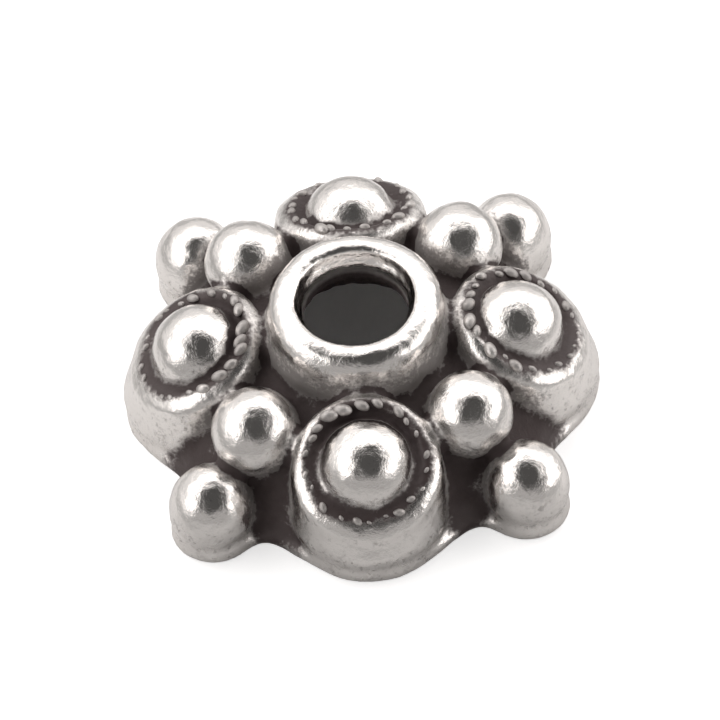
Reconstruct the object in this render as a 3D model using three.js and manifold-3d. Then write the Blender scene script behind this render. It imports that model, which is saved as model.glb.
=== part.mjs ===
// A cast bead cap in antique silver: a small domed flower that sits over the end of a bead.
// It rests rim down on z = 0, its axis is Z, and two of its four petals lie along X.
// All lengths are millimetres.

import * as THREE from 'three';
import { mergeVertices } from 'three/addons/utils/BufferGeometryUtils.js';
import Module from 'manifold-3d';

// Collar and bore
const capHeight = 2.8;
const boreRadius = 0.9;
const lipWidth = 0.12;
const lipDepth = 0.24;
const flatWidth = 0.2;
const shoulderWidth = 0.3;
const shoulderDepth = 0.42;
const footHeight = 2.0;
const footFlare = 0.09;
const boreMouthRadius = 1.25;
const boreTaperDepth = 0.6;

// Dome and bowl
const rimRadius = 3.52;
const domeHeight = 2.0;
const rimWall = 0.42;
const bowlDepth = 1.8;

// Petal cups
const petalCount = 4;
const collarToPetal = 0.18;
const petalTilt = THREE.MathUtils.degToRad(27);
const bezelRadius = 1.26;
const bezelShift = 0.08;
const bezelRise = 0.1;
const crestWidth = 0.13;
const petalWallHeight = 1.15;
const petalFlare = 0.15;
const moatRadius = 0.95;
const moatDepth = 0.42;
const moatTaper = 0.05;
const petalBallRadius = 0.78;
const petalBallLift = -0.11;

// Granules
const collarToGranule = 0.3;
const innerGranuleRadius = 0.76;
const innerGranuleHeight = 1.66;
const outerGranuleRadius = 0.745;
const outerGranuleHeight = 0.74;
const outerGranuleStretch = 1.1;
const outerGranuleStep = 1.22;

// Draft below the parting line, and the allowance that is ground off the rim
const partingHeight = 0.6;
const baseDraft = 0.07;
const footNarrowing = 0.04;
const grindAllowance = 0.3;

// Facets round each form
const roundSides = 48;
const cupSides = 28;
const ballSides = 14;

// Sizes that follow from those above
const collarFlatInner = boreRadius + lipWidth;
const collarFlatOuter = collarFlatInner + flatWidth;
const collarRadius = collarFlatOuter + shoulderWidth;
const bowlRadius = rimRadius - rimWall;
const petalDistance = collarRadius + collarToPetal + (bezelRadius - bezelShift) * Math.cos(petalTilt);
const petalReach = petalDistance + (bezelRadius + bezelShift) * Math.cos(petalTilt) + petalFlare;
const bezelHeight = petalWallHeight + (bezelRadius + bezelShift) * Math.sin(petalTilt);
const innerGranuleDistance = collarRadius + collarToGranule + innerGranuleRadius;
const outerGranuleDistance = innerGranuleDistance + outerGranuleStep;

const wasm = await Module();
wasm.setup();

function toSolid(geometry) {
  geometry.deleteAttribute('normal');
  geometry.deleteAttribute('uv');
  const merged = mergeVertices(geometry);
  return new wasm.Manifold(new wasm.Mesh({
    numProp: 3,
    vertProperties: Float32Array.from(merged.attributes.position.array),
    triVerts: Uint32Array.from(merged.index.array),
  }));
}

function toGeometry(solid) {
  const mesh = solid.getMesh();
  const geometry = new THREE.BufferGeometry();
  geometry.setAttribute('position', new THREE.BufferAttribute(mesh.vertProperties, 3));
  geometry.setIndex(new THREE.BufferAttribute(mesh.triVerts, 1));
  return geometry;
}

// A quarter ellipse from (x, z) to (x + width, z + depth), steep at its start or at its end.
function quarter(x, z, width, depth, steepFirst, steps = 5) {
  const points = [];
  for (let i = 0; i <= steps; i += 1) {
    const turn = (Math.PI / 2) * (i / steps);
    const across = steepFirst ? 1 - Math.cos(turn) : Math.sin(turn);
    const along = steepFirst ? Math.sin(turn) : 1 - Math.cos(turn);
    points.push(new THREE.Vector2(x + width * across, z + depth * along));
  }
  return points;
}

// A solid of revolution about Z from points of (radius, height), listed upwards.
function turned(points, sides) {
  const geometry = new THREE.LatheGeometry(points, sides);
  geometry.rotateX(Math.PI / 2);
  return geometry;
}

function ball(radius) {
  const geometry = new THREE.SphereGeometry(radius, ballSides, ballSides / 2 + 1);
  geometry.rotateX(Math.PI / 2);
  return geometry;
}

// The dome is half an ellipsoid that goes on straight down through the grinding allowance.
function dome() {
  const points = [
    new THREE.Vector2(0, -grindAllowance),
    new THREE.Vector2(rimRadius, -grindAllowance),
    ...quarter(rimRadius, 0, -rimRadius, domeHeight, true, 9),
  ];
  return turned(points, roundSides);
}

// The collar stands on the dome with a flared foot and ends in a flat band with a round shoulder.
function collar() {
  const points = [
    new THREE.Vector2(0, domeHeight / 2),
    new THREE.Vector2(collarRadius + footFlare, domeHeight / 2),
    new THREE.Vector2(collarRadius + footFlare, footHeight),
    ...quarter(collarRadius, capHeight - shoulderDepth, -shoulderWidth, shoulderDepth, true),
    new THREE.Vector2(0, capHeight),
  ];
  return turned(points, roundSides);
}

// The hollow is a spherical bowl that narrows into the bore, and the bore ends in a round lip.
function hollow() {
  const bowlSphere = (bowlRadius ** 2 + bowlDepth ** 2) / (2 * bowlDepth);
  const bowlHeight = (radius) => bowlDepth - bowlSphere + Math.sqrt(bowlSphere ** 2 - radius ** 2);
  const steps = 7;
  const bowl = [];
  for (let i = 0; i <= steps; i += 1) {
    const radius = bowlRadius + (boreMouthRadius - bowlRadius) * (i / steps);
    bowl.push(new THREE.Vector2(radius, bowlHeight(radius)));
  }
  const points = [
    new THREE.Vector2(0, -2 * grindAllowance),
    new THREE.Vector2(bowlRadius, -2 * grindAllowance),
    ...bowl,
    new THREE.Vector2(boreRadius, bowlHeight(boreMouthRadius) + boreTaperDepth),
    ...quarter(boreRadius, capHeight - lipDepth, lipWidth, lipDepth, false, 4),
    new THREE.Vector2(collarFlatInner, capHeight + grindAllowance),
    new THREE.Vector2(0, capHeight + grindAllowance),
  ];
  return turned(points, roundSides);
}

// A turned form whose sections are then placed one by one: each section, [radius, height, centre, tilt],
// keeps its roundness and is moved out by centre and leant outwards by tilt.
function leaning(sections, sides) {
  const points = sections.map(([radius], row) => new THREE.Vector2(radius, row));
  const geometry = new THREE.LatheGeometry(points, sides);
  geometry.rotateX(Math.PI / 2);
  const place = geometry.attributes.position;
  const spot = new THREE.Vector3();
  const upright = new THREE.Vector3(0, 1, 0);
  for (let i = 0; i < place.count; i += 1) {
    const [, height, centre, tilt] = sections[Math.round(place.getZ(i))];
    spot.set(place.getX(i), place.getY(i), 0).applyAxisAngle(upright, tilt);
    place.setXYZ(i, spot.x + centre, spot.y, spot.z + height);
  }
  return geometry;
}

// A petal cup: a drafted foot, a wall that leans in to the bezel's edge, the raised crest and the moat inside it.
// The bezel's outer edge lies further out than its crest and moat, so it is narrower towards the collar.
function petalCup() {
  const lobeRadius = bezelRadius + petalFlare;
  const lobeCentre = petalReach - lobeRadius;
  const foot = (height) => lobeRadius - baseDraft * ((partingHeight - height) / partingHeight);
  const leant = (radius, lift, shift) => [
    radius,
    bezelHeight + lift * Math.cos(petalTilt) - shift * Math.sin(petalTilt),
    petalDistance + lift * Math.sin(petalTilt) + shift * Math.cos(petalTilt),
    petalTilt,
  ];
  return leaning([
    [0, -grindAllowance, lobeCentre, 0],
    [foot(-grindAllowance), -grindAllowance, lobeCentre, 0],
    [lobeRadius, partingHeight, lobeCentre, 0],
    leant(bezelRadius, 0, bezelShift),
    leant(moatRadius + crestWidth, bezelRise, bezelShift / 3),
    leant(moatRadius, bezelRise / 2, 0),
    leant(moatRadius - moatTaper, -moatDepth, 0),
    leant(0, -moatDepth, 0),
  ], cupSides);
}

function petalBall() {
  const geometry = ball(petalBallRadius);
  geometry.translate(
    petalDistance + petalBallLift * Math.sin(petalTilt),
    0,
    bezelHeight + petalBallLift * Math.cos(petalTilt),
  );
  return geometry;
}

function innerGranule() {
  const geometry = ball(innerGranuleRadius);
  geometry.translate(innerGranuleDistance, 0, innerGranuleHeight);
  return geometry;
}

// An outer granule: a stretched half ball on a short post whose foot is drafted in towards the axis.
function outerGranule() {
  const below = (height) => (partingHeight - height) / partingHeight;
  const shift = (height) => outerGranuleDistance - baseDraft * below(height);
  const foot = (height) => outerGranuleRadius - footNarrowing * below(height);
  const sections = [
    [0, -grindAllowance, shift(-grindAllowance), 0],
    [foot(-grindAllowance), -grindAllowance, shift(-grindAllowance), 0],
    [outerGranuleRadius, partingHeight, outerGranuleDistance, 0],
  ];
  const steps = 5;
  for (let i = 0; i <= steps; i += 1) {
    const turn = (Math.PI / 2) * (i / steps);
    sections.push([
      i === steps ? 0 : outerGranuleRadius * Math.cos(turn),
      outerGranuleHeight + outerGranuleStretch * outerGranuleRadius * Math.sin(turn),
      outerGranuleDistance,
      0,
    ]);
  }
  return leaning(sections, ballSides + 4);
}

// What is ground off below the rim.
function grinding() {
  const across = 4 * rimRadius;
  const geometry = new THREE.BoxGeometry(across, across, across);
  geometry.translate(0, 0, -across / 2);
  return geometry;
}

let cap = toSolid(dome()).add(toSolid(collar()));
for (let i = 0; i < petalCount; i += 1) {
  const turn = (2 * Math.PI * i) / petalCount;
  for (const form of [petalCup(), petalBall()]) {
    cap = cap.add(toSolid(form.rotateZ(turn)));
  }
  for (const form of [innerGranule(), outerGranule()]) {
    cap = cap.add(toSolid(form.rotateZ(turn + Math.PI / petalCount)));
  }
}
cap = cap.subtract(toSolid(grinding())).subtract(toSolid(hollow()));

const antiqueSilver = new THREE.MeshStandardMaterial({ color: 0xa8a29e, metalness: 1, roughness: 0.3 });
const beadCap = new THREE.Mesh(toGeometry(cap), antiqueSilver);
beadCap.name = 'bead_cap';

const object = new THREE.Group();
object.add(beadCap);

export default object;
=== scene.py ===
import math
import random

import bpy
from mathutils import Matrix, Vector


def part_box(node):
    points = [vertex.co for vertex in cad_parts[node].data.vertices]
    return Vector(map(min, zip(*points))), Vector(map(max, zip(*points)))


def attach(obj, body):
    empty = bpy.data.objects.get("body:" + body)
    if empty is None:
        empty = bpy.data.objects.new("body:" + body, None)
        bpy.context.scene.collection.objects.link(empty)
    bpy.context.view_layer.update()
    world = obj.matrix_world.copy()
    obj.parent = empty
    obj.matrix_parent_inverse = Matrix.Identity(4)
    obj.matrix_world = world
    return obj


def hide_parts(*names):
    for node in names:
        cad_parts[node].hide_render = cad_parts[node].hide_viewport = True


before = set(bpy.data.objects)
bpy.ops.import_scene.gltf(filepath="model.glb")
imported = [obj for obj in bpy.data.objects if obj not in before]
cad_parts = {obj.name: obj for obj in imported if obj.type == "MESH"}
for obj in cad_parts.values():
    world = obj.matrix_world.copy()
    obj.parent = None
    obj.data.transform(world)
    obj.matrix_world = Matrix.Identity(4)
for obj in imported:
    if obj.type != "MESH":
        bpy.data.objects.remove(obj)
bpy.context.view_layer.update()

low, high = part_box("bead_cap")
CAP_HEIGHT = 2.8
# One millimetre of the cap, from its height over the rim.
MM = (high[2] - low[2]) / CAP_HEIGHT


# Camera
# The photograph looks down on the cap from about fifty degrees through a long lens, and its horizon is not
# quite level.
VIEW_TURN = math.radians(1)
VIEW_RISE = math.radians(51.5)
VIEW_ROLL = math.radians(5)
VIEW_DISTANCE = 220 * MM
VIEW_WIDTH = 12.3 * MM
AIM_HEIGHT = 1.05 * MM
SENSOR_WIDTH = 36
NEAREST_SEEN = 0.01


def direction(turn, rise):
    """The direction turned from the front towards the right, and raised above the table."""
    return Vector((math.sin(turn) * math.cos(rise), -math.cos(turn) * math.cos(rise), math.sin(rise)))


back = direction(VIEW_TURN, VIEW_RISE)
camera = bpy.data.objects.new("camera", bpy.data.cameras.new("camera"))
camera.data.sensor_width = SENSOR_WIDTH
camera.data.lens = SENSOR_WIDTH * VIEW_DISTANCE / VIEW_WIDTH
camera.data.clip_start = NEAREST_SEEN
camera.location = Vector((0, 0, AIM_HEIGHT)) + back * VIEW_DISTANCE
level = back.to_track_quat("Z", "Y").to_matrix()
camera.rotation_euler = (Matrix.Rotation(-VIEW_ROLL, 3, back) @ level).to_euler()
bpy.context.scene.collection.objects.link(camera)
bpy.context.scene.camera = camera


# Dome and rim
# The thin body of the casting, half an ellipsoid, that carries every other form and ends in the flat rim.
# It is cast in a zinc alloy, plated silver and then blackened and rubbed bright on its high spots.
RIM_RADIUS = 3.52
DOME_HEIGHT = 2.0
DOME_STEPS = 40
ROUND_SIDES = 160
# Every form goes on below the rim, where it is ground off. The dome's foot stays behind the base flange.
BELOW_RIM = 0.3
DOME_FOOT_INSET = 0.1

shell_points = []
shell_faces = []


def add_shell(sections, sides, turn=0.0, shift=(0.0, 0.0, 0.0)):
    """Adds a closed form. Each section is (radius, height, centre, tilt), with a point at each end."""
    first = len(shell_points)
    rings = []
    for radius, height, centre, tilt in sections:
        count = sides if radius > 0 else 1
        rings.append((len(shell_points), count))
        for i in range(count):
            around = 2 * math.pi * i / sides
            spot = Vector((radius * math.cos(around), radius * math.sin(around), 0))
            spot = Matrix.Rotation(tilt, 3, "Y") @ spot + Vector((centre, 0, height))
            shell_points.append(Matrix.Rotation(turn, 3, "Z") @ spot + Vector(shift))
    for (start, count), (above, count_above) in zip(rings, rings[1:]):
        for i in range(sides):
            j = (i + 1) % sides
            face = [start + i % count, start + j % count, above + j % count_above, above + i % count_above]
            shell_faces.append([corner for n, corner in enumerate(face) if corner not in face[:n]])
    return first


def upright(radius, height, centre=0.0):
    """A section square to an upright axis, which stands out from the cap's own by centre."""
    return radius, height, centre, 0


def arc(radius, height, across, up, steps, steep_first=True):
    """A quarter ellipse from (radius, height), as upright sections on the cap's axis."""
    sections = []
    for i in range(steps + 1):
        angle = (math.pi / 2) * i / steps
        out, rise = 1 - math.cos(angle), math.sin(angle)
        if not steep_first:
            out, rise = rise, out
        sections.append(upright(radius + across * out, height + up * rise))
    return sections


dome_arc = arc(RIM_RADIUS, 0, -RIM_RADIUS, DOME_HEIGHT, DOME_STEPS)
dome_foot = [upright(0, -BELOW_RIM), upright(RIM_RADIUS - DOME_FOOT_INSET, -BELOW_RIM)]
add_shell([*dome_foot, *dome_arc[2:-1], upright(0, DOME_HEIGHT)], ROUND_SIDES)


# Collar
# The raised ring that the strand's next bead sits on. Its flattened band is rubbed bright, and under its
# round shoulder a grey flank flares into a rougher foot on the dome.
BORE_RADIUS = 0.9
LIP_WIDTH = 0.12
LIP_DEPTH = 0.24
FLAT_WIDTH = 0.2
SHOULDER_WIDTH = 0.3
SHOULDER_DEPTH = 0.42
SHOULDER_STEPS = 16
FOOT_HEIGHT = 2.0
FOOT_FLARE = 0.09
COLLAR_RADIUS = BORE_RADIUS + LIP_WIDTH + FLAT_WIDTH + SHOULDER_WIDTH

add_shell(
    [
        upright(0, DOME_HEIGHT / 2),
        upright(COLLAR_RADIUS + FOOT_FLARE, DOME_HEIGHT / 2),
        upright(COLLAR_RADIUS + FOOT_FLARE, FOOT_HEIGHT),
        *arc(COLLAR_RADIUS, CAP_HEIGHT - SHOULDER_DEPTH, -SHOULDER_WIDTH, SHOULDER_DEPTH, SHOULDER_STEPS),
        upright(0, CAP_HEIGHT),
    ],
    ROUND_SIDES,
)


# Petal cups
# Four round bezels in the manner of soldered work, cast in one with the dome and leant outwards. Each has a
# smooth wall that swells a little over the mould's seam, a bevelled rim that is narrower towards the collar,
# and a moat round its ball.
PETALS = 4
CUP_SIDES = 112
PETAL_TILT = math.radians(27)
COLLAR_TO_PETAL = 0.18
PETAL_WALL = 1.15
PETAL_FLARE = 0.15
BEZEL_RADIUS = 1.26
BEZEL_SHIFT = 0.08
BEZEL_RISE = 0.1
# The bezel's edge is worn round, from its foot up to its top, and its bevel rises to the crest by the moat.
EDGE_SWELL = 0.03
EDGE_FOOT = 0.13
EDGE_TOP = 0.05
EDGE_TOP_WIDTH = 0.01
BEVEL_WIDTH = 0.19
BEVEL_RISE = 0.7 * BEZEL_RISE
BEVEL_SHIFT = BEZEL_SHIFT / 2
CREST_WIDTH = 0.1
MOAT_RADIUS = 0.92
MOAT_LIP = 0.4 * BEZEL_RISE
MOAT_DEPTH = 0.34
MOAT_TAPER = 0.05
# The wall is widest over the mould's seam, steps in at it, and stands on the base flange.
WALL_WIDEST = 0.6
SEAM_HEIGHT = 0.27
SEAM_STEP = 0.09
FLANGE_ROUND = 0.15
PETAL_DISTANCE = COLLAR_RADIUS + COLLAR_TO_PETAL + (BEZEL_RADIUS - BEZEL_SHIFT) * math.cos(PETAL_TILT)
BEZEL_HEIGHT = PETAL_WALL + (BEZEL_RADIUS + BEZEL_SHIFT) * math.sin(PETAL_TILT)
PETAL_REACH = PETAL_DISTANCE + (BEZEL_RADIUS + BEZEL_SHIFT) * math.cos(PETAL_TILT) + PETAL_FLARE
LOBE_RADIUS = BEZEL_RADIUS + PETAL_FLARE
LOBE_CENTRE = PETAL_REACH - LOBE_RADIUS


def petal_turn(petal):
    """The way that a petal points from the axis, or with half a petal added, the gap after it."""
    return 2 * math.pi * petal / PETALS


def leant(radius, lift, shift=0.0):
    """A section square to a petal's leaning axis, lift above the bezel's edge and shifted outwards."""
    return (
        radius,
        BEZEL_HEIGHT + lift * math.cos(PETAL_TILT) - shift * math.sin(PETAL_TILT),
        PETAL_DISTANCE + lift * math.sin(PETAL_TILT) + shift * math.cos(PETAL_TILT),
        PETAL_TILT,
    )


def moulded_foot(radius, centre):
    """The upright sections of a lobe of the rim, up to where it is widest."""
    return [
        upright(0, -BELOW_RIM, centre),
        upright(radius - FLANGE_ROUND, -BELOW_RIM, centre),
        upright(radius - FLANGE_ROUND, 0, centre),
        upright(radius - SEAM_STEP, SEAM_HEIGHT, centre),
        upright(radius, WALL_WIDEST, centre),
    ]


bezel_sections = [
    leant(BEZEL_RADIUS + EDGE_SWELL, -EDGE_FOOT, BEZEL_SHIFT + EDGE_SWELL),
    leant(BEZEL_RADIUS + EDGE_TOP_WIDTH, -EDGE_TOP, BEZEL_SHIFT + EDGE_SWELL),
    leant(MOAT_RADIUS + BEVEL_WIDTH, BEVEL_RISE, BEVEL_SHIFT),
    leant(MOAT_RADIUS + CREST_WIDTH, BEZEL_RISE),
]
moat_sections = [
    leant(MOAT_RADIUS, MOAT_LIP),
    leant(MOAT_RADIUS - MOAT_TAPER, -MOAT_DEPTH),
    leant(0, -MOAT_DEPTH),
]
for petal in range(PETALS):
    cup = [*moulded_foot(LOBE_RADIUS, LOBE_CENTRE), *bezel_sections, *moat_sections]
    add_shell(cup, CUP_SIDES, petal_turn(petal))


# Petal balls
# One polished ball in each cup, sunk into the moat's floor and just below the bezel. No two sit quite alike,
# and one sits deeper, because the pattern that the mould was taken from was soldered together by hand.
PETAL_BALL = 0.83
PETAL_BALL_LIFTS = (-0.12, -0.24, -0.14, -0.14)
PETAL_BALL_SHIFTS = (0.01, 0.0, 0.01, 0.07)
PETAL_BALL_STRAY = 0.03
BALL_SMALLER = 0.02
BALL_LARGER = 0.01
BALL_STEPS = 36
BALL_SIDES = 72
HAND_SEED = 7
hand = random.Random(HAND_SEED)


def ball_sections(radius, stretch=1.0):
    """A ball on its own centre, its upper half stretched upwards by a share."""
    sections = []
    for i in range(BALL_STEPS + 1):
        angle = math.pi * i / BALL_STEPS - math.pi / 2
        rise = radius * math.sin(angle)
        ring = radius * math.cos(angle) if 0 < i < BALL_STEPS else 0
        sections.append(upright(ring, rise * (stretch if rise > 0 else 1)))
    return sections


def out_from_axis(distance, height, turn):
    return Vector((distance * math.cos(turn), distance * math.sin(turn), height))


def add_ball(radius, spot, stray):
    """Adds a hand-set ball, up to stray off its spot each way and not quite to size."""
    spot = spot + Vector([hand.uniform(-stray, stray) for _ in range(3)])
    add_shell(ball_sections(radius + hand.uniform(-BALL_SMALLER, BALL_LARGER)), BALL_SIDES, shift=spot)


for petal, (lift, shift) in enumerate(zip(PETAL_BALL_LIFTS, PETAL_BALL_SHIFTS)):
    _, height, reach, _ = leant(0, lift, shift)
    add_ball(PETAL_BALL, out_from_axis(reach, height, petal_turn(petal)), PETAL_BALL_STRAY)


# Inner granules
# Four polished balls that fill the corners between the petals and the collar. Each is cast in one with the
# dome and half sunk into it.
INNER_GRANULE = 0.76
INNER_HEIGHT = 1.66
INNER_STRAY = 0.025
COLLAR_TO_GRANULE = 0.3
INNER_DISTANCE = COLLAR_RADIUS + COLLAR_TO_GRANULE + INNER_GRANULE

for petal in range(PETALS):
    add_ball(INNER_GRANULE, out_from_axis(INNER_DISTANCE, INNER_HEIGHT, petal_turn(petal + 0.5)), INNER_STRAY)


# Outer granules
# Four bullet-shaped granules at the rim, between the petals and a little beyond them. Each stands on a short
# post that widens a little over the mould's seam.
OUTER_GRANULE = 0.745
OUTER_HEIGHT = 0.74
OUTER_STRETCH = 1.1
GRANULE_STEP = 1.22
OUTER_DISTANCE = INNER_DISTANCE + GRANULE_STEP

for petal in range(PETALS):
    size = OUTER_GRANULE + hand.uniform(-BALL_SMALLER, 0)
    upper_half = ball_sections(size, OUTER_STRETCH)[BALL_STEPS // 2 + 1:]
    granule = [
        *moulded_foot(size, OUTER_DISTANCE),
        upright(size, OUTER_HEIGHT, OUTER_DISTANCE),
        *[upright(ring, OUTER_HEIGHT + rise, OUTER_DISTANCE) for ring, rise, _, _ in upper_half],
    ]
    add_shell(granule, BALL_SIDES, petal_turn(petal + 0.5))


# Base flange
# The halves of the mould meet a little above the rim. Under that seam the casting ends in a low flange,
# whose outline flows from lobe to lobe and whose lower edge is tumbled round.
FLANGE_SIDES = 320
FLANGE_BLEND = 0.45
FLANGE_STEP = 0.02
FLANGE_HALVINGS = 24
# Heights over the rim, and how far the flange stays in there from its widest outline.
FLANGE_EDGE = (
    (-BELOW_RIM, FLANGE_ROUND),
    (0, FLANGE_ROUND),
    (0.03, 0.07),
    (0.08, 0.02),
    (0.14, 0),
    (SEAM_HEIGHT - 0.03, 0),
    (SEAM_HEIGHT, FLANGE_STEP),
)


def blended_gap(first, second):
    """The distance to two forms that flow into each other."""
    share = max(FLANGE_BLEND - abs(first - second), 0) / FLANGE_BLEND
    return min(first, second) - share * share * FLANGE_BLEND / 4


def flange_radius(turn):
    """How far the flange reaches from the axis along turn, found by halving."""
    inside, beyond = RIM_RADIUS / 2, RIM_RADIUS * 2
    for _ in range(FLANGE_HALVINGS):
        middle = (inside + beyond) / 2
        spot = out_from_axis(middle, 0, turn)
        gap = middle - RIM_RADIUS
        for petal in range(PETALS):
            lobe = out_from_axis(LOBE_CENTRE, 0, petal_turn(petal))
            post = out_from_axis(OUTER_DISTANCE, 0, petal_turn(petal + 0.5))
            gap = blended_gap(gap, (spot - lobe).length - LOBE_RADIUS + FLANGE_STEP)
            gap = blended_gap(gap, (spot - post).length - OUTER_GRANULE + FLANGE_STEP)
        if gap < 0:
            inside = middle
        else:
            beyond = middle
    return inside


flange = add_shell(
    [
        upright(0, -BELOW_RIM),
        *[upright(RIM_RADIUS - inset, height) for height, inset in FLANGE_EDGE],
        upright(0, SEAM_HEIGHT),
    ],
    FLANGE_SIDES,
)
for i in range(FLANGE_SIDES):
    along = 2 * math.pi * i / FLANGE_SIDES
    reach = flange_radius(along)
    for row, (height, inset) in enumerate(FLANGE_EDGE):
        shell_points[flange + 1 + row * FLANGE_SIDES + i] = out_from_axis(reach - inset, height, along)


# Bowl and bore
# The hollow side hugs the bead that the cap sits on: a round bowl that narrows into the bore for the strand.
# Under the rim everything is ground flat, so the cap stands without rocking.
RIM_WALL = 0.42
BOWL_DEPTH = 1.8
BOWL_STEPS = 24
BOWL_EDGE_WIDTH = 0.14
BOWL_EDGE_DEPTH = 0.12
BOWL_EDGE_STEPS = 8
BORE_MOUTH = 1.25
BORE_TAPER = 0.6
LIP_STEPS = 10
# What is cut away goes on well past the casting, below it, above it and to its sides.
CUT_BELOW = 1
CUT_ABOVE = 0.5
GROUND_REACH = 3 * RIM_RADIUS
GROUND_SIDES = 32
# The black of the moats ends on the crest, this far out from them.
BLACK_BAND = 0.08
BOWL_RADIUS = RIM_RADIUS - RIM_WALL
BOWL_SPHERE = (BOWL_RADIUS ** 2 + BOWL_DEPTH ** 2) / (2 * BOWL_DEPTH)


def bowl_height(radius):
    """How high the bowl's surface, part of a sphere, lies over the rim at this distance from the axis."""
    return BOWL_DEPTH - BOWL_SPHERE + math.sqrt(BOWL_SPHERE ** 2 - radius ** 2)


def take_shells(name):
    """Makes the forms added since the last call into one mesh object, in millimetres."""
    mesh = bpy.data.meshes.new(name)
    mesh.from_pydata([tuple(point) for point in shell_points], [], shell_faces)
    mesh.update()
    shell_points.clear()
    shell_faces.clear()
    made = bpy.data.objects.new(name, mesh)
    bpy.context.scene.collection.objects.link(made)
    return made


forms = take_shells("cast_forms")
bowl_sections = []
for step in range(BOWL_STEPS + 1):
    radius = BOWL_RADIUS + (BORE_MOUTH - BOWL_RADIUS) * step / BOWL_STEPS
    if bowl_height(radius) > BOWL_EDGE_DEPTH:
        bowl_sections.append(upright(radius, bowl_height(radius)))
edge_radius = BOWL_RADIUS + BOWL_EDGE_WIDTH
add_shell(
    [
        upright(0, -CUT_BELOW),
        upright(edge_radius, -CUT_BELOW),
        *arc(edge_radius, 0, -BOWL_EDGE_WIDTH, BOWL_EDGE_DEPTH, BOWL_EDGE_STEPS, steep_first=False),
        *bowl_sections,
        upright(BORE_RADIUS, bowl_height(BORE_MOUTH) + BORE_TAPER),
        *arc(BORE_RADIUS, CAP_HEIGHT - LIP_DEPTH, LIP_WIDTH, LIP_DEPTH, LIP_STEPS, steep_first=False),
        upright(BORE_RADIUS + LIP_WIDTH, CAP_HEIGHT + CUT_ABOVE),
        upright(0, CAP_HEIGHT + CUT_ABOVE),
    ],
    ROUND_SIDES,
)
hollow = take_shells("bowl_and_bore")
add_shell(dome_arc[:-1], ROUND_SIDES)
for petal in range(PETALS):
    add_shell([leant(MOAT_RADIUS + BLACK_BAND, BEZEL_RISE), *moat_sections], CUP_SIDES, petal_turn(petal))
wells = take_shells("dome_and_moats")
add_shell(
    [upright(0, -CUT_BELOW), upright(GROUND_REACH, -CUT_BELOW), upright(GROUND_REACH, 0), upright(0, 0)],
    GROUND_SIDES,
)
ground = take_shells("ground_off")


# Cast skin
# The forms run together as metal does in a mould: every crease is filled by a small round, every edge is
# softened, and the surface keeps a faint unevenness, coarser and pitted in the bowl, which nobody polishes.
CREASE_ROUND = 0.05
EDGE_ROUND = 0.03
GRID = 0.057
FINE_GRID = 0.035
GRID_CELLS = 4
FINE_CELLS = 6
TUMBLED_SHARE = 0.5
TUMBLED_TIMES = 4
POLISHED_UNEVENNESS = 0.018
BOWL_UNEVENNESS = 0.03
# The bowl's skin is what lies near the hollow, up to where the polished lip of the bore begins.
BOWL_SKIN = 0.04
BOWL_SKIN_ENDS = 0.12
LIP_STARTS = 2.3
LIP_POLISHED = 2.55
RIM_KEPT_FLAT = 0.12
# Nearly all of a noise lies between these.
NOISE_LEAST = 0.25
NOISE_MOST = 0.75


def new_tree(name, inputs):
    """A Geometry Nodes tree that takes these inputs and gives back a mesh."""
    tree = bpy.data.node_groups.new(name, "GeometryNodeTree")
    for label, kind in inputs:
        tree.interface.new_socket(label, in_out="INPUT", socket_type=kind)
    tree.interface.new_socket("Geometry", in_out="OUTPUT", socket_type="NodeSocketGeometry")
    return tree, tree.nodes.new("NodeGroupInput").outputs, tree.nodes.new("NodeGroupOutput").inputs


def add_node(tree, kind, inputs=None, **settings):
    """Adds a node with these settings, and gives each input, by name or number, a value or a link."""
    node = tree.nodes.new(kind)
    for setting, value in settings.items():
        setattr(node, setting, value)
    for label, value in (inputs or {}).items():
        if isinstance(value, bpy.types.NodeSocket):
            tree.links.new(value, node.inputs[label])
        else:
            node.inputs[label].default_value = value
    return node


def maths(tree, operation, first, second=0):
    return add_node(tree, "ShaderNodeMath", {0: first, 1: second}, operation=operation).outputs["Value"]


def mapped(tree, value, lowest, highest, start=0.0, end=1.0, ease="LINEAR"):
    """Turns lowest into start and highest into end, with what lies between, and goes no further."""
    inputs = {"Value": value, "From Min": lowest, "From Max": highest, "To Min": start, "To Max": end}
    return add_node(tree, "ShaderNodeMapRange", inputs, interpolation_type=ease).outputs["Result"]


def distances(tree, mesh, grid, cells):
    """The distance to a closed mesh, on a grid that reaches this many cells from it."""
    inputs = {"Mesh": mesh, "Voxel Size": grid, "Band Width": cells}
    return add_node(tree, "GeometryNodeMeshToSDFGrid", inputs).outputs["SDF Grid"]


def surface_at(tree, field, distance):
    inputs = {"Grid": field, "Threshold": distance}
    return add_node(tree, "GeometryNodeGridToMesh", inputs).outputs["Mesh"]


def offset(tree, mesh, distance, grid, cells):
    """Moves a closed surface out by distance, or in if it is negative, and merges what overlaps."""
    return surface_at(tree, distances(tree, mesh, grid, cells), distance)


def shape_of(tree, made):
    return add_node(tree, "GeometryNodeObjectInfo", {"Object": made}).outputs["Geometry"]


def gap_to(tree, mesh):
    """How far each point lies from this mesh."""
    near = add_node(tree, "GeometryNodeProximity", {"Geometry": mesh}, target_element="FACES")
    return near.outputs["Distance"]


def noted(tree, mesh, name, value):
    """Keeps a value at every point of a mesh, for the finish to read."""
    inputs = {"Geometry": mesh, "Name": name, "Value": value}
    return add_node(tree, "GeometryNodeStoreNamedAttribute", inputs).outputs["Geometry"]


def wave(tree, scale, seed, height, detail=2.0):
    """A noise of scale waves to the millimetre, between -height and height."""
    inputs = {"W": seed, "Scale": scale, "Detail": detail}
    noise = add_node(tree, "ShaderNodeTexNoise", inputs, noise_dimensions="4D")
    return mapped(tree, noise.outputs["Fac"], NOISE_LEAST, NOISE_MOST, -height, height)


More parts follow.
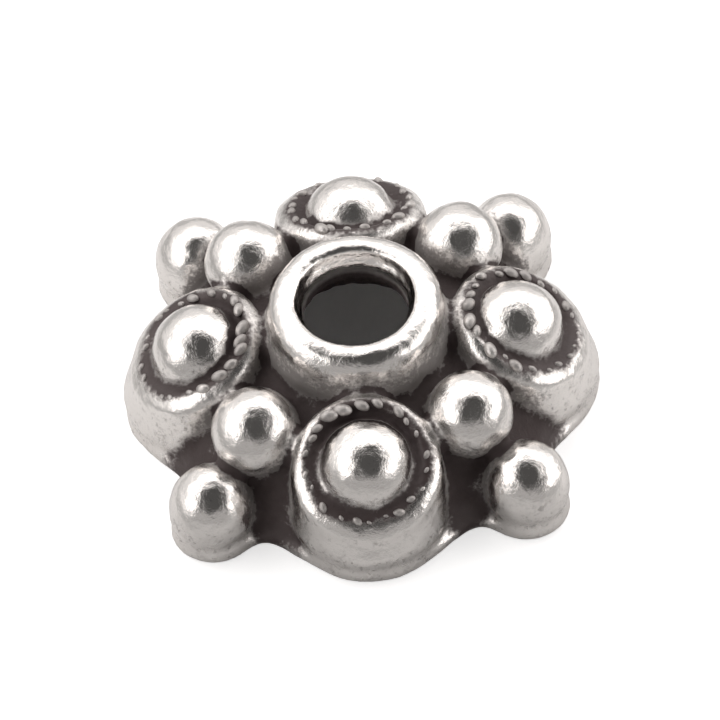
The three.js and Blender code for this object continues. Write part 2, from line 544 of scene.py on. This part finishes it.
def skin_tree():
    """Fills the creases, cuts the hollow out, grinds the rim flat and softens the edges."""
    tree, given, result = new_tree("cast_skin", (
        ("Geometry", "NodeSocketGeometry"),
        ("Hollow", "NodeSocketObject"),
        ("Ground off", "NodeSocketObject"),
        ("Grid", "NodeSocketFloat"),
        ("Fine grid", "NodeSocketFloat"),
    ))
    fine = given["Fine grid"]
    filled = offset(tree, given["Geometry"], CREASE_ROUND, fine, FINE_CELLS)
    filled = offset(tree, filled, -CREASE_ROUND, fine, FINE_CELLS)
    left = distances(tree, filled, fine, FINE_CELLS)
    for name in ("Hollow", "Ground off"):
        cut = distances(tree, shape_of(tree, given[name]), fine, FINE_CELLS)
        inputs = {"Grid 1": left, "Grid 2": cut}
        left = add_node(tree, "GeometryNodeSDFGridBoolean", inputs, operation="DIFFERENCE").outputs["Grid"]
    eased = offset(tree, surface_at(tree, left, 0), -EDGE_ROUND, fine, FINE_CELLS)
    eased = offset(tree, eased, EDGE_ROUND, given["Grid"], GRID_CELLS)
    tree.links.new(eased, result["Geometry"])
    return tree


def uneven_tree():
    """Notes where the bowl is, as the attribute bowl, and moves the surface in and out by a faint noise."""
    tree, given, result = new_tree("cast_unevenness", (
        ("Geometry", "NodeSocketGeometry"),
        ("Hollow", "NodeSocketObject"),
        ("Polished height", "NodeSocketFloat"),
        ("Bowl height", "NodeSocketFloat"),
    ))
    place = tree.nodes.new("GeometryNodeInputPosition").outputs["Position"]
    height = add_node(tree, "ShaderNodeSeparateXYZ", {"Vector": place}).outputs["Z"]
    near_hollow = mapped(tree, gap_to(tree, shape_of(tree, given["Hollow"])), BOWL_SKIN_ENDS, BOWL_SKIN)
    bowl = maths(tree, "MULTIPLY", near_hollow, mapped(tree, height, LIP_POLISHED, LIP_STARTS))
    polished = maths(tree, "ADD", wave(tree, 1.3, seed=1, height=1.0), wave(tree, 4, seed=2, height=0.45))
    polished = maths(tree, "MULTIPLY", polished, given["Polished height"])
    pitted = wave(tree, 9, seed=4, height=0.7, detail=4.0)
    pitted = maths(tree, "ADD", wave(tree, 4, seed=3, height=0.5), pitted)
    pitted = maths(tree, "MULTIPLY", pitted, given["Bowl height"])
    rise = add_node(tree, "ShaderNodeMix", {"Factor": bowl, "A": polished, "B": pitted}).outputs["Result"]
    rise = maths(tree, "MULTIPLY", rise, mapped(tree, height, 0, RIM_KEPT_FLAT))
    normal = tree.nodes.new("GeometryNodeInputNormal").outputs["Normal"]
    along = add_node(tree, "ShaderNodeVectorMath", {"Vector": normal, "Scale": rise}, operation="SCALE")
    with_bowl = noted(tree, given["Geometry"], "bowl", bowl)
    inputs = {"Geometry": with_bowl, "Offset": along.outputs["Vector"]}
    moved = add_node(tree, "GeometryNodeSetPosition", inputs)
    tree.links.new(moved.outputs["Geometry"], result["Geometry"])
    return tree


def set_inputs(modifier, values):
    """Sets a Geometry Nodes modifier's inputs by the names of their sockets."""
    for item in modifier.node_group.interface.items_tree:
        if item.item_type == "SOCKET" and item.in_out == "INPUT" and item.name in values:
            modifier[item.identifier] = values[item.name]


def applied(made, name):
    """The object's evaluated shape as a plain mesh object."""
    graph = bpy.context.evaluated_depsgraph_get()
    mesh = bpy.data.meshes.new_from_object(made.evaluated_get(graph))
    mesh.name = name
    plain = bpy.data.objects.new(name, mesh)
    bpy.context.scene.collection.objects.link(plain)
    return plain


skin = forms.modifiers.new("cast skin", "NODES")
skin.node_group = skin_tree()
set_inputs(skin, {"Hollow": hollow, "Ground off": ground, "Grid": GRID, "Fine grid": FINE_GRID})
smooth = forms.modifiers.new("tumbled", "SMOOTH")
smooth.factor = TUMBLED_SHARE
smooth.iterations = TUMBLED_TIMES
unevenness = forms.modifiers.new("cast unevenness", "NODES")
unevenness.node_group = uneven_tree()
set_inputs(unevenness, {
    "Hollow": hollow,
    "Polished height": POLISHED_UNEVENNESS,
    "Bowl height": BOWL_UNEVENNESS,
})
casting = applied(forms, "cast_body")
for used in (forms, ground):
    bpy.data.objects.remove(used)


# Milgrain
# The row of tiny beads that a knurled wheel rolled into each bezel's crest on the pattern. They are slanted
# and a little uneven, worn low towards the outside, and blackened between.
GRAINS = 22
HALF_LENGTH = 0.14
HALF_WIDTH = 0.09
GRAIN_LIFT = 0.65 * BEZEL_RISE
GRAIN_SLANT = 0.5
GRAIN_STRAY_ROUND = 0.09
GRAIN_STRAY_ACROSS = 0.045
GRAIN_ROUNDNESS = 3
# Sizes next to the full one: at the collar's side, at the outside, and each bead's own range.
SIZE_INSIDE = 1.1
SIZE_OUTSIDE = 0.65
SIZE_LEAST = 0.45
SIZE_MOST = 1.15


def vector_of(tree, x, y, z):
    return add_node(tree, "ShaderNodeCombineXYZ", {"X": x, "Y": y, "Z": z}).outputs["Vector"]


def turned_about(tree, vector, axis, angle):
    inputs = {"Vector": vector, "Angle": angle}
    return add_node(tree, "ShaderNodeVectorRotate", inputs, rotation_type=axis + "_AXIS").outputs["Vector"]


def random_between(tree, least, most, seed):
    inputs = {"Min": least, "Max": most, "Seed": seed}
    return add_node(tree, "FunctionNodeRandomValue", inputs).outputs["Value"]


def milgrain_tree():
    """Adds the beads to the casting, and notes them as the attribute grain."""
    tree, given, result = new_tree("milgrain", (
        ("Geometry", "NodeSocketGeometry"),
        ("Petals", "NodeSocketInt"),
        ("Grains", "NodeSocketInt"),
        ("Ring radius", "NodeSocketFloat"),
        ("Lift", "NodeSocketFloat"),
        ("Tilt", "NodeSocketFloat"),
        ("Distance", "NodeSocketFloat"),
        ("Height", "NodeSocketFloat"),
        ("Half length", "NodeSocketFloat"),
        ("Half width", "NodeSocketFloat"),
    ))
    index = tree.nodes.new("GeometryNodeInputIndex").outputs["Index"]
    passed = maths(tree, "DIVIDE", index, given["Grains"])
    around = maths(tree, "MULTIPLY", maths(tree, "FRACT", passed), 2 * math.pi)
    stray = random_between(tree, -GRAIN_STRAY_ROUND, GRAIN_STRAY_ROUND, seed=5)
    around = maths(tree, "ADD", around, stray)
    petal_share = maths(tree, "DIVIDE", maths(tree, "FLOOR", passed), given["Petals"])
    turn = maths(tree, "MULTIPLY", petal_share, 2 * math.pi)

    def in_place(vector, centre=None):
        """Turns a direction from a bezel's own axes to the cap's or, given a centre, places a point there."""
        vector = turned_about(tree, vector, "Z", around)
        vector = turned_about(tree, vector, "Y", given["Tilt"])
        if centre is not None:
            vector = add_node(tree, "ShaderNodeVectorMath", {0: vector, 1: centre}).outputs["Vector"]
        return turned_about(tree, vector, "Z", turn)

    stray = random_between(tree, -GRAIN_STRAY_ACROSS, GRAIN_STRAY_ACROSS, seed=6)
    radius = maths(tree, "ADD", given["Ring radius"], stray)
    centre = vector_of(tree, given["Distance"], 0, given["Height"])
    spots = add_node(tree, "GeometryNodePoints", {
        "Count": maths(tree, "MULTIPLY", given["Petals"], given["Grains"]),
        "Position": in_place(vector_of(tree, radius, 0, given["Lift"]), centre),
    })
    axes = add_node(
        tree,
        "FunctionNodeAxesToRotation",
        {
            "Primary Axis": in_place(vector_of(tree, 0, 0, 1)),
            "Secondary Axis": in_place(vector_of(tree, GRAIN_SLANT, 1, 0)),
        },
        primary_axis="Z",
        secondary_axis="X",
    )
    grain = add_node(tree, "GeometryNodeMeshIcoSphere", {"Radius": 1, "Subdivisions": GRAIN_ROUNDNESS})
    worn = mapped(tree, maths(tree, "COSINE", around), -1, 1, SIZE_INSIDE, SIZE_OUTSIDE)
    size = maths(tree, "MULTIPLY", worn, random_between(tree, SIZE_LEAST, SIZE_MOST, seed=8))
    proportions = vector_of(tree, given["Half length"], given["Half width"], given["Half width"])
    scaled = add_node(tree, "ShaderNodeVectorMath", {"Vector": proportions, "Scale": size}, operation="SCALE")
    copies = add_node(tree, "GeometryNodeInstanceOnPoints", {
        "Points": spots.outputs["Geometry"],
        "Instance": grain.outputs["Mesh"],
        "Rotation": axes.outputs["Rotation"],
        "Scale": scaled.outputs["Vector"],
    })
    real = add_node(tree, "GeometryNodeRealizeInstances", {"Geometry": copies.outputs["Instances"]})
    both = tree.nodes.new("GeometryNodeJoinGeometry")
    for mesh in (noted(tree, real.outputs["Geometry"], "grain", 1), given["Geometry"]):
        tree.links.new(mesh, both.inputs["Geometry"])
    tree.links.new(both.outputs["Geometry"], result["Geometry"])
    return tree


_, ring_height, ring_distance, _ = leant(0, 0, BEVEL_SHIFT)
milgrain = casting.modifiers.new("milgrain", "NODES")
milgrain.node_group = milgrain_tree()
set_inputs(milgrain, {
    "Petals": PETALS,
    "Grains": GRAINS,
    "Ring radius": MOAT_RADIUS + CREST_WIDTH,
    "Lift": GRAIN_LIFT,
    "Tilt": PETAL_TILT,
    "Distance": ring_distance,
    "Height": ring_height,
    "Half length": HALF_LENGTH,
    "Half width": HALF_WIDTH,
})


# Patina
# The cap is dipped in a blackening bath and then tumbled and wiped. The wipe reaches every raised form, but
# neither the dome between them nor the moats, and leaves a grey film where a soft wheel only half reaches.
WHEEL_RADIUS = 0.7
WHEEL_GRID = 0.08
WHEEL_CELLS = 12
CREASE_RADIUS = 0.14
CREASE_GRID = 0.035
CREASE_CELLS = 6


def depth_below(tree, mesh, radius, grid, cells):
    """How far each point of mesh lies below the surface that a wheel of this radius can reach."""
    reached = offset(tree, offset(tree, mesh, radius, grid, cells), -radius, grid, cells)
    return gap_to(tree, reached)


def patina_tree():
    """Notes what the wipe can't reach, and gives the cap its real size and its finish."""
    tree, given, result = new_tree("patina_depth", (
        ("Geometry", "NodeSocketGeometry"),
        ("Wells", "NodeSocketObject"),
        ("Wheel grid", "NodeSocketFloat"),
        ("Crease grid", "NodeSocketFloat"),
        ("Scale", "NodeSocketFloat"),
        ("Finish", "NodeSocketMaterial"),
    ))
    mesh = given["Geometry"]
    normal = tree.nodes.new("GeometryNodeInputNormal").outputs["Normal"]
    facing_up = add_node(tree, "ShaderNodeSeparateXYZ", {"Vector": normal}).outputs["Z"]
    kept = mesh
    for name, value in (
        ("recess", depth_below(tree, mesh, WHEEL_RADIUS, given["Wheel grid"], WHEEL_CELLS)),
        ("crease", depth_below(tree, mesh, CREASE_RADIUS, given["Crease grid"], CREASE_CELLS)),
        ("above_well", gap_to(tree, shape_of(tree, given["Wells"]))),
        ("steepness", maths(tree, "SUBTRACT", 1, maths(tree, "ABSOLUTE", facing_up))),
    ):
        kept = noted(tree, kept, name, value)
    scale = vector_of(tree, given["Scale"], given["Scale"], given["Scale"])
    sized = add_node(tree, "GeometryNodeTransform", {"Geometry": kept, "Scale": scale})
    shaded = add_node(tree, "GeometryNodeSetShadeSmooth", {"Geometry": sized.outputs["Geometry"]})
    inputs = {"Geometry": shaded.outputs["Geometry"], "Material": given["Finish"]}
    finished = add_node(tree, "GeometryNodeSetMaterial", inputs)
    tree.links.new(finished.outputs["Geometry"], result["Geometry"])
    return tree


# The finish itself is bright silver plate where the wipe reached, satin in between, and matt black sulphide
# below.
SILVER = (0.83, 0.80, 0.775, 1)
SULPHIDE = (0.066, 0.049, 0.048, 1)

finish = bpy.data.materials.new("antique_silver")
finish.use_nodes = True
silvering = finish.node_tree
shader = silvering.nodes["Principled BSDF"]
spot = silvering.nodes.new("ShaderNodeTexCoord").outputs["Object"]
to_millimetres = {"Vector": spot, "Scale": (1 / MM, 1 / MM, 1 / MM)}
in_millimetres = add_node(silvering, "ShaderNodeMapping", to_millimetres).outputs["Vector"]
axis_parts = add_node(silvering, "ShaderNodeSeparateXYZ", {"Vector": in_millimetres}).outputs


def attribute(name):
    return add_node(silvering, "ShaderNodeAttribute", attribute_name=name).outputs["Fac"]


def ranged(value, lowest, highest, start=0.0, end=1.0):
    return mapped(silvering, value, lowest, highest, start, end, "SMOOTHSTEP")


def grain_noise(scale, detail, roughness=0.5):
    inputs = {"Vector": in_millimetres, "Scale": scale, "Detail": detail, "Roughness": roughness}
    return add_node(silvering, "ShaderNodeTexNoise", inputs).outputs["Fac"]


def added(first, second):
    return maths(silvering, "ADD", first, second)


def times(first, second):
    return maths(silvering, "MULTIPLY", first, second)


def larger(first, second):
    return maths(silvering, "MAXIMUM", first, second)


# Dirt lies in broad patches, blotches and specks.
broad = added(grain_noise(1.6, detail=2), -0.5)
blotches = added(grain_noise(5, detail=7, roughness=0.72), -0.5)
specks = added(grain_noise(13, detail=4, roughness=0.7), -0.5)

# The black covers the dome and the moats up to about a fifth of a millimetre, and fills the creases. Half of
# it is wiped off the milgrain's beads, and all of it off the rim's edge.
BLACK_FADES_AT = 0.21
BLACK_FULL_AT = 0.04
BLACK_BY_PATCHES = 0.3
BLACK_BY_SPECKS = 0.2
BLACK_ON_GRAINS = 0.5
RIM_WIPED_TO = 0.04
RIM_BLACK_FROM = 0.14
CREASE_FADES_AT = 0.01
CREASE_FULL_AT = 0.045
CREASE_BY_BLOTCHES = 0.09
cover = added(times(broad, BLACK_BY_PATCHES), times(added(blotches, specks), BLACK_BY_SPECKS))
unwiped = ranged(added(attribute("above_well"), cover), BLACK_FADES_AT, BLACK_FULL_AT)
unwiped = times(unwiped, ranged(attribute("grain"), 0.4, 0.6, 1.0, BLACK_ON_GRAINS))
unwiped = times(unwiped, ranged(axis_parts["Z"], RIM_WIPED_TO, RIM_BLACK_FROM))
crease_depth = added(attribute("crease"), times(blotches, CREASE_BY_BLOTCHES))
in_crease = ranged(crease_depth, CREASE_FADES_AT, CREASE_FULL_AT)

# The grey film starts where the wheel stays a few hundredths of a millimetre off.
FILM_STARTS_AT = 0.07
FILM_FULL_AT = 0.28
FILM_STRENGTH = 0.62
FILM_BY_BLOTCHES = 0.5
FILM_BY_SPECKS = 0.6
dirty = added(times(blotches, FILM_BY_BLOTCHES), times(specks, FILM_BY_SPECKS))
film = times(ranged(added(attribute("recess"), dirty), FILM_STARTS_AT, FILM_FULL_AT), FILM_STRENGTH)

# Steep walls are wiped less than what faces up, and keep grey stains.
STEEP_FROM = 0.6
STEEP_FULL_AT = 0.95
STAIN_FULL_AT = 0.24
STAIN_STRENGTH = 0.45
wall = ranged(attribute("steepness"), STEEP_FROM, STEEP_FULL_AT)
stains = times(ranged(added(blotches, specks), 0.0, STAIN_FULL_AT), times(wall, STAIN_STRENGTH))
film = larger(film, stains)

# The bore stays black from its lip down to where it opens into the bowl.
BORE_BLACK_ENDS = BORE_MOUTH + 0.02
BORE_BLACK_FULL = BORE_MOUTH - 0.05
flat = vector_of(silvering, axis_parts["X"], axis_parts["Y"], 0)
from_axis = add_node(silvering, "ShaderNodeVectorMath", {0: flat}, operation="LENGTH").outputs["Value"]
bore = times(attribute("bowl"), ranged(from_axis, BORE_BLACK_ENDS, BORE_BLACK_FULL))
black = larger(larger(unwiped, in_crease), larger(film, bore))
colours = {"Factor": black, "A": SILVER, "B": SULPHIDE}
colour = add_node(silvering, "ShaderNodeMix", colours, data_type="RGBA").outputs["Result"]
silvering.links.new(colour, shader.inputs["Base Color"])

# Rubbed silver is nearly a mirror, and the bowl, the milgrain and the black are duller.
RUBBED_LEAST = 0.08
RUBBED_MOST = 0.2
BOWL_DULLER = 0.2
MILGRAIN_DULLER = 0.3
BLACK_DULLER = 0.3
HALF_REACHED_DULLER = 0.3
HALF_REACHED_FROM = 0.04
HALF_REACHED_FULL_AT = 0.22
WALL_DULLER = 0.08
BLACK_METALLIC = 0.25
half_reached = ranged(
    attribute("recess"),
    HALF_REACHED_FROM,
    HALF_REACHED_FULL_AT,
    0.0,
    HALF_REACHED_DULLER,
)
rubbed = ranged(grain_noise(3.5, detail=5, roughness=0.6), 0.35, 0.7, RUBBED_LEAST, RUBBED_MOST)
dull = added(added(rubbed, half_reached), times(wall, WALL_DULLER))
dull = added(dull, times(attribute("bowl"), BOWL_DULLER))
dull = added(dull, times(attribute("grain"), MILGRAIN_DULLER))
dull = added(dull, times(black, BLACK_DULLER))
silvering.links.new(dull, shader.inputs["Roughness"])
silvering.links.new(ranged(black, 0.4, 1.0, 1.0, BLACK_METALLIC), shader.inputs["Metallic"])

# The skin is finely uneven all over, and sandy in the bowl and where the wheel only half reaches.
BUMP_HEIGHT = 0.03 * MM
BUMP_STRENGTH = 0.5
SANDY_HALF_REACHED = 1.6
SANDY_BOWL = 1.2
sandy = added(times(half_reached, SANDY_HALF_REACHED), times(attribute("bowl"), SANDY_BOWL))
sandy = times(grain_noise(20, detail=3, roughness=0.6), sandy)
bumps = added(grain_noise(7, detail=5, roughness=0.6), sandy)
bump_inputs = {"Height": bumps, "Distance": BUMP_HEIGHT, "Strength": BUMP_STRENGTH}
skin_bump = add_node(silvering, "ShaderNodeBump", bump_inputs)
silvering.links.new(skin_bump.outputs["Normal"], shader.inputs["Normal"])

patina = casting.modifiers.new("patina", "NODES")
patina.node_group = patina_tree()
set_inputs(patina, {
    "Wells": wells,
    "Wheel grid": WHEEL_GRID,
    "Crease grid": CREASE_GRID,
    "Scale": MM,
    "Finish": finish,
})
cap = applied(casting, "cap_casting")
for used in (casting, hollow, wells):
    bpy.data.objects.remove(used)
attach(cap, "root")
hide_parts("bead_cap")


# Table and light tent
# The cap was photographed on a white table inside a white tent that is open towards the camera, and the
# tent's dark mouth shows in every ball. Its walls are brightest round the mouth and greyer near the table.
TABLE_HALF = 400 * MM
TABLE_GAP = 0.005 * MM
TABLE_ROUGHNESS = 0.9
TABLE_WHITE = (0.85, 0.85, 0.85, 1)
# To the camera the table glows white, with a painted shadow under the cap where the glow is nearly gone, so
# it is nearly dark where it is seen through the bore.
PAINTED_SHADOW_TO = 3.2 * MM
GLOWS_FROM = 3.4 * MM
PAINTED_SHADOW_GLOW = 0.022
TABLE_GLOW = 0.6
# To the cap, in reflections and bounced light, the table is a darker copy with painted shade: bright close
# by, darker in front and greyer far away.
NEAR_TO = 6 * MM
FAR_FROM = 12 * MM
FAR_PAINTED_SHADE = 0.42
FRONT_TO = -4.2 * MM
BESIDE_FROM = -2.2 * MM
FRONT_PAINTED_SHADE = 0.6
BESIDE_WHITE = 0.95

corners = [
    (-TABLE_HALF, -TABLE_HALF, 0),
    (TABLE_HALF, -TABLE_HALF, 0),
    (TABLE_HALF, TABLE_HALF, 0),
    (-TABLE_HALF, TABLE_HALF, 0),
]
table_mesh = bpy.data.meshes.new("table")
table_mesh.from_pydata(corners, [], [(0, 1, 2, 3)])
table = bpy.data.objects.new("table", table_mesh)
bpy.context.scene.collection.objects.link(table)
table.location.z = -TABLE_GAP
white = bpy.data.materials.new("white_table")
white.use_nodes = True
paper = white.node_tree
paper_shader = paper.nodes["Principled BSDF"]
paper_shader.inputs["Roughness"].default_value = TABLE_ROUGHNESS
paper_shader.inputs["Specular IOR Level"].default_value = 0
paper_shader.inputs["Base Color"].default_value = TABLE_WHITE
table_spot = paper.nodes.new("ShaderNodeTexCoord").outputs["Object"]
reach = add_node(paper, "ShaderNodeVectorMath", {0: table_spot}, operation="LENGTH").outputs["Value"]
towards_back = add_node(paper, "ShaderNodeSeparateXYZ", {"Vector": table_spot}).outputs["Y"]
# Painted shadow: the table's glow fades to almost nothing in a disc under the cap.
table_glow_and_painted_shadow = mapped(paper, reach, PAINTED_SHADOW_TO, GLOWS_FROM, PAINTED_SHADOW_GLOW, TABLE_GLOW)
# Painted shade on the table that the cap reflects: darker in front, greyer far away.
near_white_and_painted_shade = mapped(paper, towards_back, FRONT_TO, BESIDE_FROM, FRONT_PAINTED_SHADE, BESIDE_WHITE)
reflected_white_and_painted_shade = mapped(paper, reach, NEAR_TO, FAR_FROM, near_white_and_painted_shade, FAR_PAINTED_SHADE)
glowing = add_node(paper, "ShaderNodeEmission", {"Color": (1, 1, 1, 1), "Strength": table_glow_and_painted_shadow})
seen_inputs = {0: paper_shader.outputs["BSDF"], 1: glowing.outputs["Emission"]}
seen = add_node(paper, "ShaderNodeAddShader", seen_inputs)
shaded_reflection_copy = add_node(paper, "ShaderNodeBsdfDiffuse", {"Color": reflected_white_and_painted_shade})
# The camera sees the glowing table, and everything else sees the copy with painted shade.
choice = add_node(paper, "ShaderNodeMixShader", {
    "Fac": paper.nodes.new("ShaderNodeLightPath").outputs["Is Camera Ray"],
    1: shaded_reflection_copy.outputs["BSDF"],
    2: seen.outputs["Shader"],
})
paper.links.new(choice.outputs["Shader"], paper.nodes["Material Output"].inputs["Surface"])
table_mesh.materials.append(white)

# The tent's wall is brightest high up. The wall on the right is lit from outside, the table ends in a grey
# front edge, and the open mouth is dark.
EDGE_LIGHT = 0.88
TENT_WHITE = (1, 0.975, 0.96, 1)
room = bpy.data.worlds.new("light_tent")
room.use_nodes = True
tent = room.node_tree
toward = tent.nodes.new("ShaderNodeTexCoord").outputs["Generated"]


def lit_patch(around, turn, rise, half, soft, strength):
    """The tent's light with a round patch laid over it. Turn, rise, half width and soft edge are degrees."""
    turn, rise, half, soft = [math.radians(angle) for angle in (turn, rise, half, soft)]
    inputs = {0: toward, 1: direction(turn, rise)}
    facing = add_node(tent, "ShaderNodeVectorMath", inputs, operation="DOT_PRODUCT").outputs["Value"]
    outer, inner = math.cos(half + soft), math.cos(half - soft)
    return mapped(tent, facing, outer, inner, around, strength, "SMOOTHSTEP")


light = lit_patch(EDGE_LIGHT, turn=4, rise=71, half=72, soft=12, strength=2.2)
light = lit_patch(light, turn=100, rise=22, half=33, soft=13, strength=1.9)
light = lit_patch(light, turn=1, rise=0, half=54, soft=4, strength=0.45)
light = lit_patch(light, turn=20, rise=66, half=42, soft=16, strength=0.08)
backdrop = tent.nodes["Background"]
backdrop.inputs["Color"].default_value = TENT_WHITE
tent.links.new(light, backdrop.inputs["Strength"])
bpy.context.scene.world = room
bpy.context.scene.view_settings.view_transform = "Standard"
